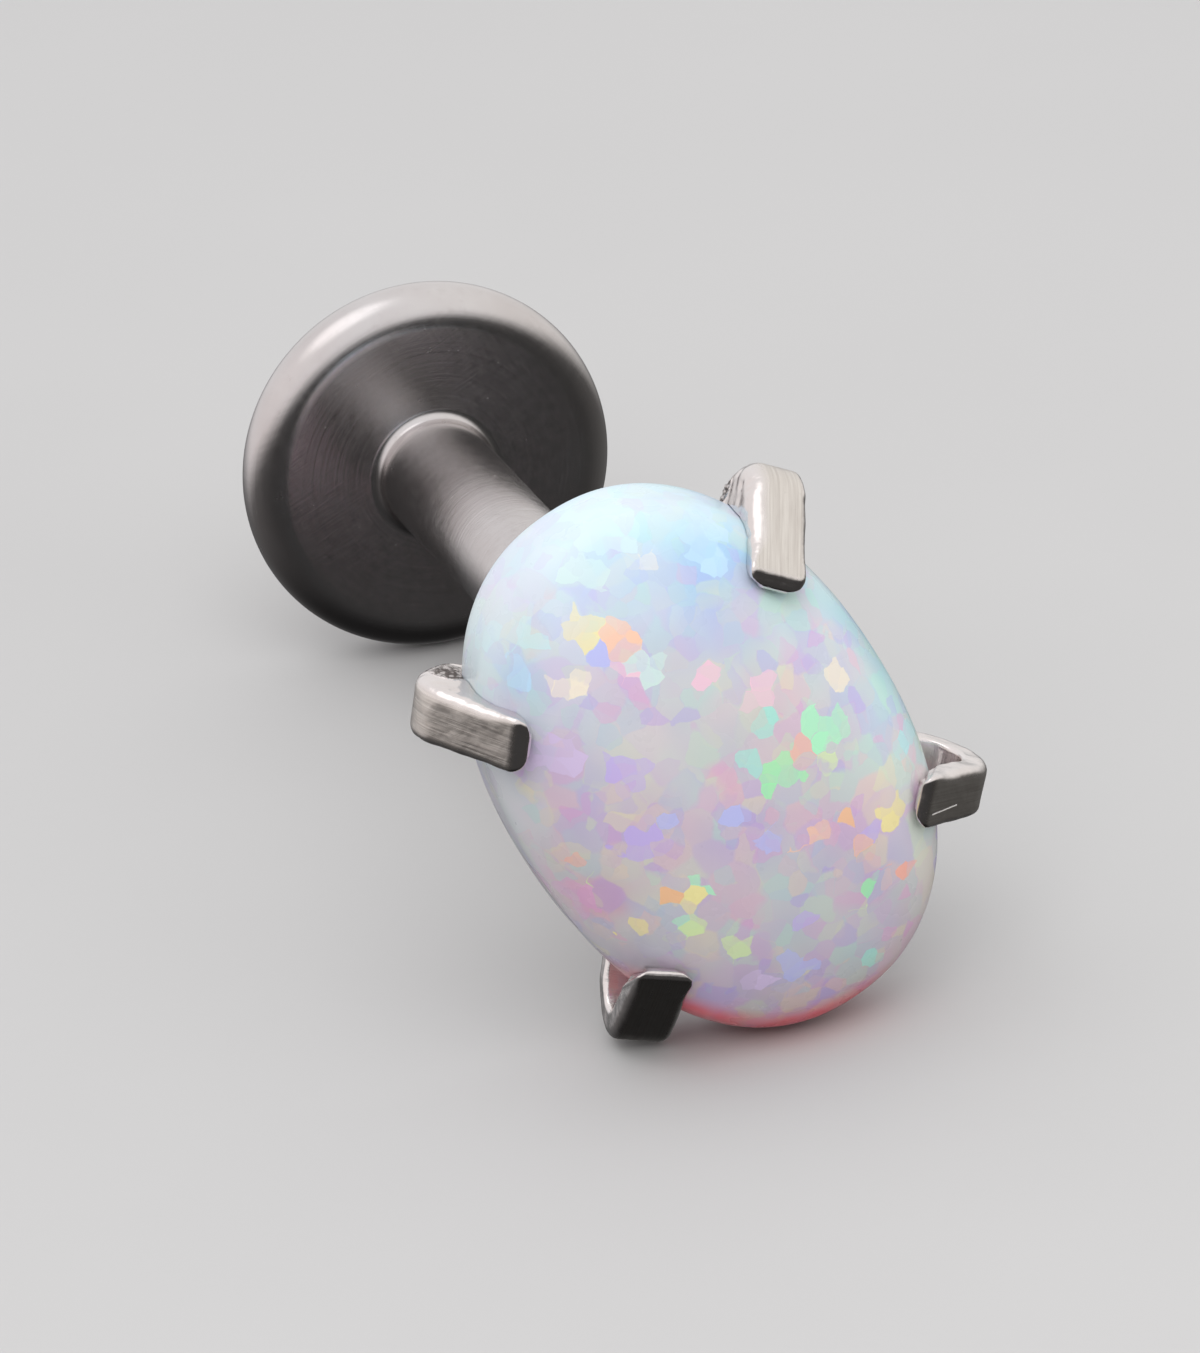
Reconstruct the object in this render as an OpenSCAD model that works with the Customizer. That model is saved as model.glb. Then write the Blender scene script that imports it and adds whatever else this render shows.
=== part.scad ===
// Flat back stud for a 16 gauge piercing: a round flat disc on a plain post,
// and at the other end a four-claw setting that holds an oval domed opal.
// Modelled as it rests by itself on a level surface: the rim of the disc, the
// lower edge of the stone and the bend of one claw touch z = 0.
// The front of the stone faces -Y, the disc is towards +Y.
// Sizes are in millimetres.

/* [Stone] */
// Length of the oval stone
stone_l = 5.94; // [5.6:0.02:6.3]
// Width of the oval stone
stone_w = 4.0; // [3.8:0.02:4.2]
// Height of the upright wall round the stone
girdle_h = 0.55; // [0.4:0.05:0.7]
// Height of the dome above that wall
dome_h = 1.3; // [1.1:0.05:1.5]
// Bluntness of the oval, 2 is a plain ellipse
oval_power = 2.2; // [2.05:0.05:2.4]

/* [Claws] */
// Width of the metal strip that each claw is bent from
claw_w = 0.54; // [0.45:0.01:0.62]
// Thickness of that strip
claw_t = 0.28; // [0.24:0.01:0.34]
// Distance from the axis to the outermost point of the bends
claw_reach = 2.99; // [2.92:0.01:3.1]
// Outer radius of the bend behind the stone's edge
bend_r = 0.6; // [0.54:0.01:0.64]
// Height of the claw tips above the stone's flat back
tip_h = 1.42; // [1.38:0.01:1.5]
// Slope of the arms behind the stone, in degrees
arm_slope = 13; // [10:1:16]

/* [Boss behind the stone] */
// Diameter of the boss where the four arms meet
boss_d = 1.8; // [1.5:0.1:2.2]
// Distance from the stone's flat back to the end of the post
boss_stack = 1.0; // [0.95:0.05:1.3]

/* [Post and disc] */
// Length of the post between disc and boss
post_l = 8; // [5:0.5:12]
// Diameter of the post
post_d = 1.2; // [1.1:0.1:1.6]
// Diameter of the flat disc
disc_d = 3.9; // [3:0.1:4.6]
// Thickness of the disc, which has a full round edge
disc_t = 0.8; // [0.6:0.05:1]
// Diameter of the hole in the end of the post
bore_d = 0.84; // [0.6:0.02:0.9]
// Length of the pin that sits in that hole
pin_l = 4; // [2:0.5:4.5]

/* [Fit] */
// Gap left between pieces that meet
gap = 0.03; // [0.02:0.01:0.05]

/* [Hidden] */
$fn = 96;

// ---- the stone's outline: a blunt oval in the plane u (long), v (short) ----
ra = stone_l/2;
rb = stone_w/2;
q = oval_power;
bevel = 0.07;                       // small bevel round the flat back
function spow(x, e) = sign(x)*pow(abs(x), e);
function oval(t, k) = [k*ra*spow(cos(t), 2/q), k*rb*spow(sin(t), 2/q)];
// largest value of m.P over the outline, for a direction m in its plane
function oval_reach(m) = let (p = q/(q - 1)) pow(pow(abs(ra*m[0]), p) + pow(abs(rb*m[1]), p), 1/p);

// ---- claws, drawn in the plane r (outwards), w (towards the stone's front) ----
// an arm up to the bend, a round bend, then the tip laid back over the stone
// [ angle round the axis from the stone's long axis, distance of the tip's front
//   edge from the axis, extra tip height, extra bend radius, extra width,
//   end cut inwards, end cut forwards, twist of bend and tip, sideways lean,
//   1 where the inside of the bend is left solid up to the stone ]
CLAWS = [
    [134.5, 2.23, -0.01, 0, 0.05, -0.18, 0.04, -4, -3.5, 1],
    [222.9, 2.32, -0.05, 0, 0.03, -0.2, 0.02, 9, -1, 1],
    [48.4, 2.06, 0.03, 0.16, 0, -0.12, -0.07, -2, -2, 0],
    [315.4, 2.0, 0.05, 0, 0.06, -0.09, -0.03, 7, 7, 0]
];
LOW_CLAW = 3;                        // the claw that touches the surface
function dir(a) = [cos(a), sin(a)];
function width(c) = claw_w + c[4];
function outer(c) = bend_r + c[3];
function centre(c) = [claw_reach - outer(c), 0.24];
function tip_edge(c) = [c[1], tip_h + c[2]];
// direction in which the tip runs, touching the bend
function lean(c) = let (d = tip_edge(c) - centre(c)) atan2(d[1], d[0]) + 90 - acos(outer(c)/norm(d));
// a bend is drawn with one short flat every 9 degrees or so
bend_n = 14;
function arc(c, r, a0, a1) = [for (i = [0:bend_n]) centre(c) + r*dir(a0 + (a1 - a0)*i/bend_n)];
arm_start = 0.45;                    // the arms begin inside the boss
function arm_in(c, r) = let (p = centre(c) + r*dir(arm_slope - 90)) p - dir(arm_slope)*((p[0] - arm_start)/cos(arm_slope));

// direction square to the stone's outline where a claw at angle a crosses it
function facing(a) = atan2(spow(sin(a), q - 1)/pow(rb, q), spow(cos(a), q - 1)/pow(ra, q));

// ---- heights along the axis, 0 at the stone's flat back ----
post_end = -boss_stack - gap;
face_w = post_end - post_l;          // the disc's face that the post stands on
rim_r = disc_t/2;

// ---- how the stud rests: n is the surface's upward normal in (u, v, w) ----
function normal(b, e) = [cos(e)*cos(b), cos(e)*sin(b), sin(e)];
function flat2(n) = [n[0], n[1]];
function low_disc(n) = n[2]*(face_w - rim_r) - (disc_d/2 - rim_r)*norm(flat2(n)) - rim_r;
function low_stone(n) = n[2]*bevel - oval_reach(flat2(n));
function low_claw(n) = -reach_claw(-n, CLAWS[LOW_CLAW]);
// tip e until disc and stone are equally low, then turn b until stone and claw are
function level(b, lo, hi, i) = let (e = (lo + hi)/2, n = normal(b, e))
    i == 0 ? e : low_stone(n) > low_disc(n) ? level(b, lo, e, i - 1) : level(b, e, hi, i - 1);
function roll(lo, hi, i) = let (b = (lo + hi)/2, n = normal(b, level(b, -5, 30, 30)))
    i == 0 ? b : low_stone(n) > low_claw(n) ? roll(b, hi, i - 1) : roll(lo, b, i - 1);
rest_b = roll(140, 175, 30);
up = normal(rest_b, level(rest_b, -5, 30, 40));
ahead = let (a = [0, 0, 1] - up[2]*up) a/norm(a);
side = cross(up, ahead);

// size of the box round the resting stud, to put the origin under its middle
function reach_stone(m) = let (s = oval_reach(flat2(m))) m[2] > 0 ? norm([s, dome_h*m[2]]) + girdle_h*m[2] : s + bevel*m[2];
function reach_disc(m) = m[2]*(face_w - rim_r) + (disc_d/2 - rim_r)*norm(flat2(m)) + rim_r;
// the bend is a round bar across the claw: m is turned into the claw's own frame
function reach_claw(m, c) = let (
        u1 = m[0]*cos(c[0]) + m[1]*sin(c[0]), v1 = m[1]*cos(c[0]) - m[0]*sin(c[0]),
        v2 = v1*cos(c[8]) + m[2]*sin(c[8]), w2 = m[2]*cos(c[8]) - v1*sin(c[8]),
        u3 = u1*cos(c[7]) + v2*sin(c[7]), v3 = v2*cos(c[7]) - u1*sin(c[7]))
    u1*centre(c)[0] + m[2]*centre(c)[1] + outer(c)*norm([u3, w2]) + width(c)/2*abs(v3);
function reach(m) = max(reach_stone(m), reach_disc(m), max([for (c = CLAWS) m[0]*cos(c[0]) + m[1]*sin(c[0]) > 0.3 ? reach_claw(m, c) : -99]));
mid_x = (reach(side) - reach(-side))/2;
mid_y = (reach(-ahead) - reach(ahead))/2;
lift = -low_disc(up);
module at_rest() {
    multmatrix([
        [side[0], side[1], side[2], -mid_x],
        [-ahead[0], -ahead[1], -ahead[2], -mid_y],
        [up[0], up[1], up[2], lift],
        [0, 0, 0, 1]
    ]) children();
}

// ---- pieces ----

// disc, post and the blind hole that the setting's pin sits in, turned as one
module post_and_disc() {
    edge_n = 24;                     // flats round the half-round edge
    rim_c = disc_d/2 - rim_r;
    foot = 0.12;                     // fillet where the post meets the disc
    tip = 0.08;                      // bevel at the free end
    profile = concat(
        [[0, face_w - disc_t]],
        [for (i = [0:edge_n]) [rim_c + rim_r*sin(180*i/edge_n), face_w - rim_r - rim_r*cos(180*i/edge_n)]],
        [for (i = [0:6]) [post_d/2 + foot - foot*sin(15*i), face_w + foot - foot*cos(15*i)]],
        [[post_d/2, post_end - tip], [post_d/2 - tip, post_end], [bore_d/2, post_end],
         [bore_d/2, post_end - pin_l - 0.2], [0, post_end - pin_l - 0.2]]
    );
    color([0.76, 0.74, 0.73]) at_rest() rotate_extrude() polygon(profile);
}

module strip(outline, w) {
    rotate([90, 0, 0]) translate([0, 0, -w/2]) linear_extrude(w) polygon(outline);
}

// room for the stone under one claw: its section in the direction that the
// stone's edge faces there, carried straight across the claw
module stone_room(a) {
    f = facing(a);
    s = oval_reach(dir(f));
    n = 10;
    rotate([0, 0, f]) rotate([90, 0, 0]) translate([0, 0, -2.5]) linear_extrude(5) polygon(concat(
        [[0.9, -gap], [s + gap, -gap], [s + gap, girdle_h]],
        [for (i = [1:n - 1]) let (t = 75*i/(n - 1)) [(s + gap)*cos(t), girdle_h + (dome_h + gap)*sin(t)/cos(75/(n - 1)/2)]],
        [[0.9*cos(75)*s, girdle_h + dome_h]]
    ));
}

// a claw is one bent strip: outwards from the boss, round the bend and over the
// stone's edge. Where the bend is twisted, arm and bend are two strips.
module claw(c) {
    m = centre(c);
    inner = outer(c) - claw_t;
    solid = c[9] == 1;
    bend_out = arc(c, outer(c), arm_slope - 90, lean(c) - 90);
    arm_end = m + inner*dir(arm_slope - 90);
    end = tip_edge(c) + [c[5], c[6]];
    // the inner side runs round the bend, or, where that is solid, straight
    // through the stone's place, which is cut out below
    tip = [tip_edge(c), end, solid ? end + [-0.05, -0.5] : tip_edge(c) - claw_t*dir(lean(c) - 90)];
    bend_in = solid ? [arm_end - dir(arm_slope)*0.14] : arc(c, inner, lean(c) - 90, arm_slope - 90);
    past = dir(arm_slope)*0.12;
    difference() {
        translate([0, 0, m[1]]) rotate([c[8], 0, 0]) translate([0, 0, -m[1]]) {
            if (c[7] == 0) strip(concat([arm_in(c, outer(c))], bend_out, tip, bend_in, [arm_in(c, inner)]), width(c));
            else {
                strip([arm_in(c, outer(c)), bend_out[0] + past, arm_end + past, arm_in(c, inner)], width(c));
                translate([m[0], 0, 0]) rotate([0, 0, c[7]]) translate([-m[0], 0, 0])
                    strip(concat([bend_out[0] - past], bend_out, tip, bend_in, [bend_in[len(bend_in) - 1] - past]), width(c));
            }
        }
        rotate([0, 0, -c[0]]) stone_room(c[0]);
        translate([0, 0, -boss_stack - 2]) cylinder(d = 7, h = 2);
    }
}

// four claws on a round boss, with the pin that holds it in the post
module setting() {
    color([0.80, 0.77, 0.75]) at_rest() {
        for (c = CLAWS) rotate([0, 0, c[0]]) claw(c);
        translate([0, 0, -boss_stack]) cylinder(d = boss_d, h = boss_stack - 0.42);
        translate([0, 0, -boss_stack - pin_l]) cylinder(d = bore_d - 2*gap, h = pin_l + 0.2);
    }
}

// oval cabochon: flat back with a small bevel, upright wall, domed front
module opal() {
    around = 96;
    up_n = 15;
    rings = concat(
        [[(rb - bevel)/rb, 0], [1, bevel], [1, girdle_h]],
        [for (i = [1:up_n - 1]) let (t = 90*i/up_n) [cos(t), girdle_h + dome_h*sin(t)]]
    );
    nr = len(rings);
    pts = concat(
        [for (g = rings) for (i = [0:around - 1]) let (p = oval(360*i/around, g[0])) [p[0], p[1], g[1]]],
        [[0, 0, girdle_h + dome_h]]
    );
    walls = [for (j = [0:nr - 2]) for (i = [0:around - 1]) let (k = (i + 1)%around)
        each [[j*around + i, (j + 1)*around + i, (j + 1)*around + k], [j*around + i, (j + 1)*around + k, j*around + k]]];
    cap = [for (i = [0:around - 1]) [(nr - 1)*around + i, nr*around, (nr - 1)*around + (i + 1)%around]];
    base = [[for (i = [0:around - 1]) i]];
    color([0.90, 0.90, 0.93]) at_rest() polyhedron(pts, concat(base, walls, cap));
}

post_and_disc();
setting();
opal();
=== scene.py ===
"""Flat back stud lying at rest: looks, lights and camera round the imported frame."""
import math

import bpy
import bmesh
import numpy as np
from mathutils import Matrix, Vector
from mathutils import noise
from mathutils.bvhtree import BVHTree
from mathutils.geometry import barycentric_transform

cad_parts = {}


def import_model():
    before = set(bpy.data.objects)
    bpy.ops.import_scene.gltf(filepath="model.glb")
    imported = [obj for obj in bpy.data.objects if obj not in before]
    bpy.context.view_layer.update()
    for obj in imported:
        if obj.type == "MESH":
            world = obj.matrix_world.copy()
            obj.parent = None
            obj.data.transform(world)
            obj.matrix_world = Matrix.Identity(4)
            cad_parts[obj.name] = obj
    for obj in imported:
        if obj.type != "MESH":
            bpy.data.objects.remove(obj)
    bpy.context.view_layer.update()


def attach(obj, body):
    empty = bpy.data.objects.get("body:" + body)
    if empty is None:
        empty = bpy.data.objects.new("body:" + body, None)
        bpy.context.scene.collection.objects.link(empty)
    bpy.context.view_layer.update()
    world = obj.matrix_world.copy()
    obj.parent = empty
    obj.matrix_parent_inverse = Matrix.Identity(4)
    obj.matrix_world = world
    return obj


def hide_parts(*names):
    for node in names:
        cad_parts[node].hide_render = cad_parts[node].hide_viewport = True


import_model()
MM = 0.001
rad = math.radians

# ---------------------------------------------------------------- sizes, as in the CAD (mm)
RA, RB, Q = 5.94 / 2, 4.0 / 2, 2.2
GIRDLE, DOME, BEVEL = 0.55, 1.3, 0.07
CLAW_W, CLAW_T, CLAW_REACH, BEND_R, TIP_H, ARM_SLOPE = 0.54, 0.28, 2.99, 0.6, 1.42, 13.0
BOSS_D, BOSS_STACK = 1.8, 1.0
POST_L, POST_D, DISC_D, DISC_T, BORE_D, PIN_L, GAP = 8.0, 1.2, 3.9, 0.8, 0.84, 4.0, 0.03
# angle, tip distance, extra height, extra bend radius, extra width, end cut (r, w), twist, lean, solid bend
CLAWS = [
    (134.5, 2.23, -0.01, 0.0, 0.05, -0.18, 0.04, -4.0, -3.5, 1),
    (222.9, 2.32, -0.05, 0.0, 0.03, -0.2, 0.02, 9.0, -1.0, 1),
    (48.4, 2.06, 0.03, 0.16, 0.0, -0.12, -0.07, -2.0, -2.0, 0),
    (315.4, 2.0, 0.05, 0.0, 0.06, -0.09, -0.03, 7.0, 7.0, 0),
]
POST_END = -BOSS_STACK - GAP
FACE_W = POST_END - POST_L
RIM_R = DISC_T / 2


def unit(a):
    return np.array([math.cos(rad(a)), math.sin(rad(a))])


def oval_reach(x, y):
    p = Q / (Q - 1)
    return (abs(RA * x) ** p + abs(RB * y) ** p) ** (1 / p)


def centre(c):
    return np.array([CLAW_REACH - (BEND_R + c[3]), 0.24])


def tip_edge(c):
    return np.array([c[1], TIP_H + c[2]])


def tip_lean(c):
    d = tip_edge(c) - centre(c)
    return math.degrees(math.atan2(d[1], d[0])) + 90 - math.degrees(math.acos((BEND_R + c[3]) / np.hypot(*d)))


# ---------------------------------------------------------------- how the stud rests (same search as the CAD)
def normal(b, e):
    return np.array([math.cos(rad(e)) * math.cos(rad(b)), math.cos(rad(e)) * math.sin(rad(b)), math.sin(rad(e))])


def low_disc(n):
    return n[2] * (FACE_W - RIM_R) - (DISC_D / 2 - RIM_R) * math.hypot(n[0], n[1]) - RIM_R


def low_stone(n):
    return n[2] * BEVEL - oval_reach(n[0], n[1])


def reach_claw(m, c):
    ca, sa = math.cos(rad(c[0])), math.sin(rad(c[0]))
    cl, sl = math.cos(rad(c[8])), math.sin(rad(c[8]))
    ct, st = math.cos(rad(c[7])), math.sin(rad(c[7]))
    u1, v1 = m[0] * ca + m[1] * sa, m[1] * ca - m[0] * sa
    v2, w2 = v1 * cl + m[2] * sl, m[2] * cl - v1 * sl
    u3, v3 = u1 * ct + v2 * st, v2 * ct - u1 * st
    return u1 * centre(c)[0] + m[2] * centre(c)[1] + (BEND_R + c[3]) * math.hypot(u3, w2) + (CLAW_W + c[4]) / 2 * abs(v3)


def low_claw(n):
    return -reach_claw(-n, CLAWS[3])


def level(b):
    lo, hi = -5.0, 30.0
    for _ in range(45):
        e = (lo + hi) / 2
        n = normal(b, e)
        if low_stone(n) > low_disc(n):
            hi = e
        else:
            lo = e
    return (lo + hi) / 2


def rest():
    lo, hi = 140.0, 175.0
    for _ in range(40):
        b = (lo + hi) / 2
        n = normal(b, level(b))
        if low_stone(n) > low_claw(n):
            lo = b
        else:
            hi = b
    return normal(b, level(b))


def reach_stone(m):
    s = oval_reach(m[0], m[1])
    return math.hypot(s, DOME * m[2]) + GIRDLE * m[2] if m[2] > 0 else s + BEVEL * m[2]


def reach(m):
    d = m[2] * (FACE_W - RIM_R) + (DISC_D / 2 - RIM_R) * math.hypot(m[0], m[1]) + RIM_R
    cs = [reach_claw(m, c) for c in CLAWS if m[0] * math.cos(rad(c[0])) + m[1] * math.sin(rad(c[0])) > 0.3]
    return max([reach_stone(m), d] + cs)


UP = rest()
AHEAD = np.array([0, 0, 1.0]) - UP[2] * UP
AHEAD /= np.linalg.norm(AHEAD)
SIDE = np.cross(UP, AHEAD)
TURN = np.array([SIDE, -AHEAD, UP])
SHIFT = np.array([-(reach(SIDE) - reach(-SIDE)) / 2, -(reach(-AHEAD) - reach(AHEAD)) / 2, -low_disc(UP)])


def world(p):
    """Points from the stone's frame (u, v, w), mm, to the row frame, m."""
    return (np.asarray(p, float) @ TURN.T + SHIFT) * MM


# ---------------------------------------------------------------- mesh helpers
def make(name, verts, faces, body="root", smooth_angle=32, attrs=None):
    me = bpy.data.meshes.new(name)
    me.from_pydata([tuple(v) for v in verts], [], faces)
    me.validate()
    for k, values in (attrs or {}).items():
        a = me.attributes.new(k, "FLOAT_VECTOR", "POINT")
        a.data.foreach_set("vector", np.asarray(values, np.float32).ravel())
    ob = bpy.data.objects.new(name, me)
    bpy.context.scene.collection.objects.link(ob)
    soften(me, smooth_angle)
    return ob


def soften(me, angle):
    bm = bmesh.new()
    bm.from_mesh(me)
    bmesh.ops.recalc_face_normals(bm, faces=bm.faces)
    for f in bm.faces:
        f.smooth = True
    for e in bm.edges:
        e.smooth = not (len(e.link_faces) == 2 and e.calc_face_angle(0) > rad(angle))
    bm.to_mesh(me)
    bm.free()
    me.update()


def apply_modifiers(ob):
    dg = bpy.context.evaluated_depsgraph_get()
    me = bpy.data.meshes.new_from_object(ob.evaluated_get(dg), preserve_all_data_layers=True, depsgraph=dg)
    old = ob.data
    ob.modifiers.clear()
    ob.data = me
    bpy.data.meshes.remove(old)


def lathe(profile, around):
    """Closed surface turned about the axis w from (r, w) points, the first and last on the axis."""
    verts, faces = [(0, 0, profile[0][1])], []
    ring = [(math.cos(2 * math.pi * i / around), math.sin(2 * math.pi * i / around)) for i in range(around)]
    for r, w in profile[1:-1]:
        verts += [(r * x, r * y, w) for x, y in ring]
    verts.append((0, 0, profile[-1][1]))
    n = len(profile) - 2
    for i in range(around):
        k = (i + 1) % around
        faces.append((0, 1 + i, 1 + k))
        for j in range(n - 1):
            a, b = 1 + j * around, 1 + (j + 1) * around
            faces.append((a + i, b + i, b + k, a + k))
        a = 1 + (n - 1) * around
        faces.append((a + i, len(verts) - 1, a + k))
    return np.array(verts), faces


# ---------------------------------------------------------------- disc and post
def disc_and_post():
    rim_c = DISC_D / 2 - RIM_R
    foot, tip = 0.12, 0.08
    back = FACE_W - DISC_T + 0.0012
    prof = [(0, back)] + [(rim_c * k / 6, back) for k in range(1, 6)]
    rr = RIM_R - 0.0006    # smooth, so a hair smaller than the faceted solid
    prof += [(rim_c + rr * math.sin(math.pi * i / 40), FACE_W - rr - rr * math.cos(math.pi * i / 40)) for i in range(41)]
    r0 = POST_D / 2 + foot
    prof += [(r0 + (rim_c - r0) * k / 5, FACE_W) for k in range(4, 0, -1)]
    prof += [(r0 - foot * math.sin(rad(7.5 * i)), FACE_W + foot - foot * math.cos(rad(7.5 * i))) for i in range(13)]
    top = POST_END - tip
    prof += [(POST_D / 2, FACE_W + foot + (top - FACE_W - foot) * k / 16) for k in range(1, 17)]
    prof += [(POST_D / 2 - tip, POST_END), (BORE_D / 2, POST_END), (BORE_D / 2, POST_END - PIN_L - 0.2), (0, POST_END - PIN_L - 0.2)]
    v, f = lathe(prof, 192)
    ob = make("disc_with_post", world(v), f, attrs={"turned": v})
    return ob


# ---------------------------------------------------------------- stone
def spow(x, e):
    return math.copysign(abs(x) ** e, x)


def cabochon(g, around, rows):
    """Points and faces of the stone, grown by g on every side."""
    ra, rb = RA + g, RB + g
    rings = [(k, -g) for k in (0.25, 0.5, 0.75, 0.9, (rb - BEVEL) / rb)]
    rings += [((rb - BEVEL + BEVEL * math.sin(rad(a))) / rb, BEVEL - g - BEVEL * math.cos(rad(a))) for a in (22.5, 45, 67.5, 90)]
    rings += [(1, BEVEL - g + (GIRDLE - BEVEL + g) * t) for t in (0.25, 0.5, 0.75, 1)]
    rings += [(math.cos(rad(90 * i / rows)), GIRDLE + (DOME + g) * math.sin(rad(90 * i / rows))) for i in range(1, rows)]
    verts, faces = [(0, 0, -g)], []
    for k, w in rings:
        verts += [(k * ra * spow(math.cos(2 * math.pi * i / around), 2 / Q), k * rb * spow(math.sin(2 * math.pi * i / around), 2 / Q), w) for i in range(around)]
    verts.append((0, 0, GIRDLE + DOME + g))
    for i in range(around):
        k = (i + 1) % around
        faces.append((0, 1 + k, 1 + i))
        for j in range(len(rings) - 1):
            a, b = 1 + j * around, 1 + (j + 1) * around
            faces.append((a + i, a + k, b + k, b + i))
        a = 1 + (len(rings) - 1) * around
        faces.append((a + i, a + k, len(verts) - 1))
    return np.array(verts), faces


def stone():
    v, faces = cabochon(-0.003, 224, 56)    # smooth, so a hair smaller than the faceted solid
    return make("opal_cabochon", world(v), faces, smooth_angle=50, attrs={"stone": v})


# ---------------------------------------------------------------- claws
FILLET_IN = 0.05   # rounding of a strip's inner long edges
# rounding of the outer long edges on the side of growing angle and on the other, of the line where
# the end begins and of the end's inner line; then for each side how deep and how long the outline's
# rounded corner is; taper of the width
WEAR = [
    (0.20, 0.075, 0.11, 0.08, 0.12, 0.16, 0.12, 0.18, 0.00),
    (0.085, 0.12, 0.13, 0.08, 0.13, 0.20, 0.14, 0.20, 0.07),
    (0.11, 0.085, 0.10, 0.06, 0.11, 0.17, 0.15, 0.26, 0.00),
    (0.10, 0.10, 0.06, 0.06, 0.17, 0.26, 0.12, 0.16, 0.02),
]
CONTACT = 0.006    # clear space kept between metal and stone


def place(c, r, l, w, share):
    """Claw frame to stone frame. share (0 to 1) says how much of the bend's twist a point takes."""
    m = centre(c)
    t = rad(c[7]) * share
    r, l = m[0] + (r - m[0]) * np.cos(t) - l * np.sin(t), (r - m[0]) * np.sin(t) + l * np.cos(t)
    cl, sl = math.cos(rad(c[8])), math.sin(rad(c[8]))
    l, w = l * cl - (w - m[1]) * sl, m[1] + (w - m[1]) * cl + l * sl
    ca, sa = math.cos(rad(c[0])), math.sin(rad(c[0]))
    return np.stack([r * ca - l * sa, r * sa + l * ca, w], -1)


def right(d):
    return np.array([d[1], -d[0]]) / np.hypot(*d)


def corner(p0, p1, p2, r, n, before=0.45, after=0.45):
    """Round the corner p0-p1-p2: points and outward normals of the arc, and its radius."""
    u, v = (p0 - p1) / np.hypot(*(p0 - p1)), (p2 - p1) / np.hypot(*(p2 - p1))
    turn = math.pi - math.acos(float(np.clip(u @ v, -1, 1)))
    t = min(r * math.tan(turn / 2), before * np.hypot(*(p0 - p1)), after * np.hypot(*(p2 - p1)))
    r = t / math.tan(turn / 2)
    b = (u + v) / np.hypot(*(u + v))
    mid = p1 + b * r / math.cos(turn / 2)
    na, nb = right(-u), right(v)
    a0 = math.atan2(na[1], na[0])
    da = (math.atan2(nb[1], nb[0]) - a0 + math.pi) % (2 * math.pi) - math.pi
    nor = [np.array([math.cos(a0 + da * k / n), math.sin(a0 + da * k / n)]) for k in range(n + 1)]
    return [mid + r * q for q in nor], nor, r


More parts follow.
